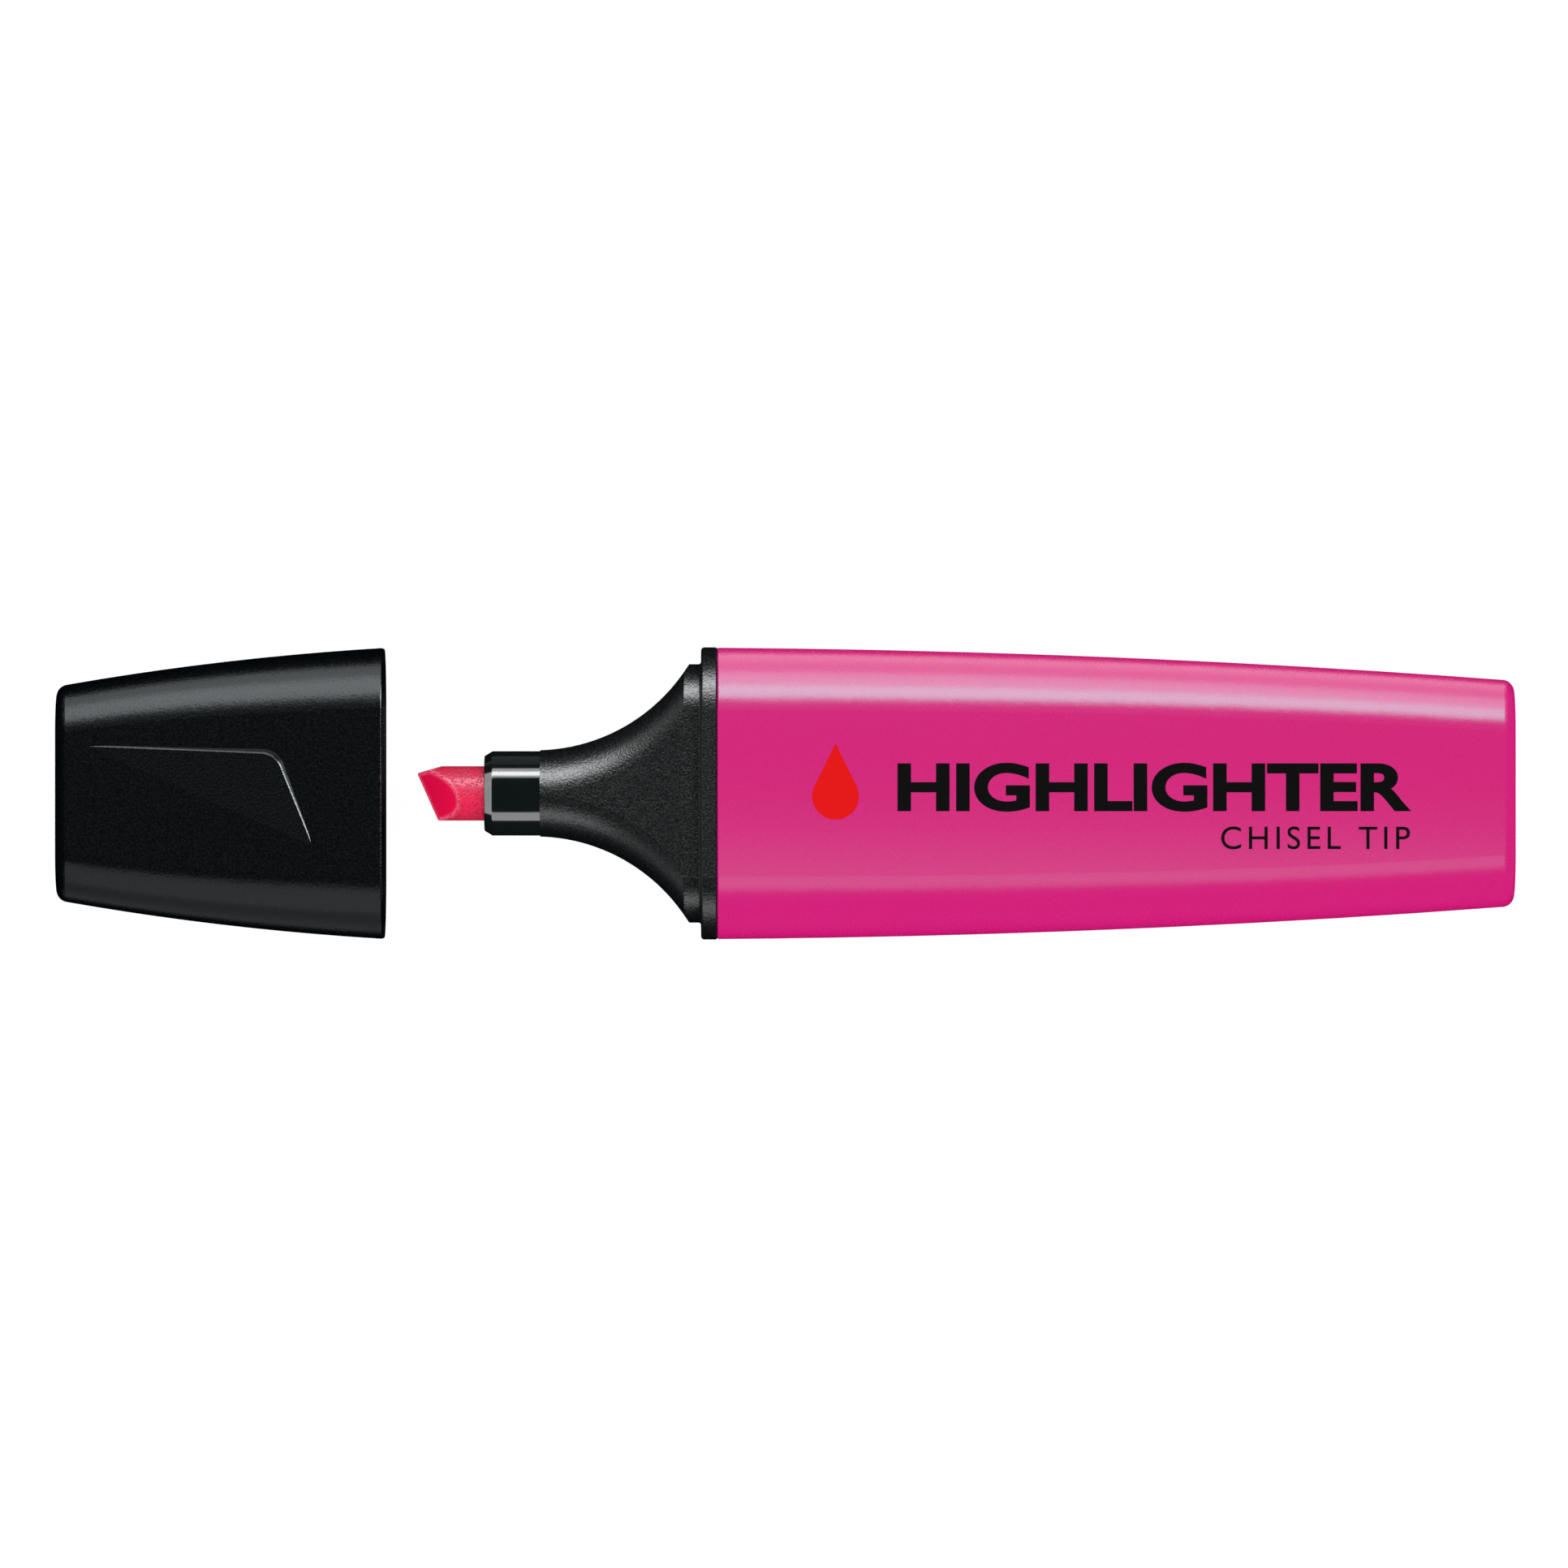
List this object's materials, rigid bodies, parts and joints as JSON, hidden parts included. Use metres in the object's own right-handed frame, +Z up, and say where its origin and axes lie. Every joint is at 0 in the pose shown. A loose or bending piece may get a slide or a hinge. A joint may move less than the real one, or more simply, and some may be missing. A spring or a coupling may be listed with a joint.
{
  "type": "highlighter pen",
  "caption": "Flat-bodied highlighter with a chisel felt nib, a flared grip section and a push-on cap that slides on along the pen's axis.",
  "frame": {"origin": "on the surface that the pen lies on, under the middle of its overall length with the cap pulled off", "axes": "+X along the pen from the cap to the closed barrel end, +Y across its width, +Z up through its thickness, with the thumb ramp's face up"},
  "size_m": [0.1346, 0.027, 0.017],
  "materials": {
    "barrel_magenta": "fine satin moulded polypropylene, magenta",
    "section_black": "spark-eroded satin black",
    "nozzle_gloss_black": "polished black",
    "felt_pink": "bonded fibre soaked in pink ink",
    "fibre_ink": "drawn fibre soaked in pink ink",
    "film_clear": "thin clear film",
    "cap_black": "fine-grained satin black",
    "liner_black": "smooth satin black",
    "print_black": "pad-printed ink, black",
    "print_red": "pad-printed ink, red"
  },
  "bodies": {
    "pen": {"barrel": "barrel_magenta", "front_section": "section_black", "nozzle": "nozzle_gloss_black", "nib": "felt_pink", "reservoir_core": "fibre_ink", "reservoir_film": "film_clear"},
    "cap": {"cap_shell": "cap_black", "cap_liner": "liner_black"}
  },
  "joints": [
    {"name": "cap_slide", "type": "slide", "parent": "pen", "child": "cap", "axis": [1, 0, 0], "range_m": [0, 0.0293]}
  ]
}
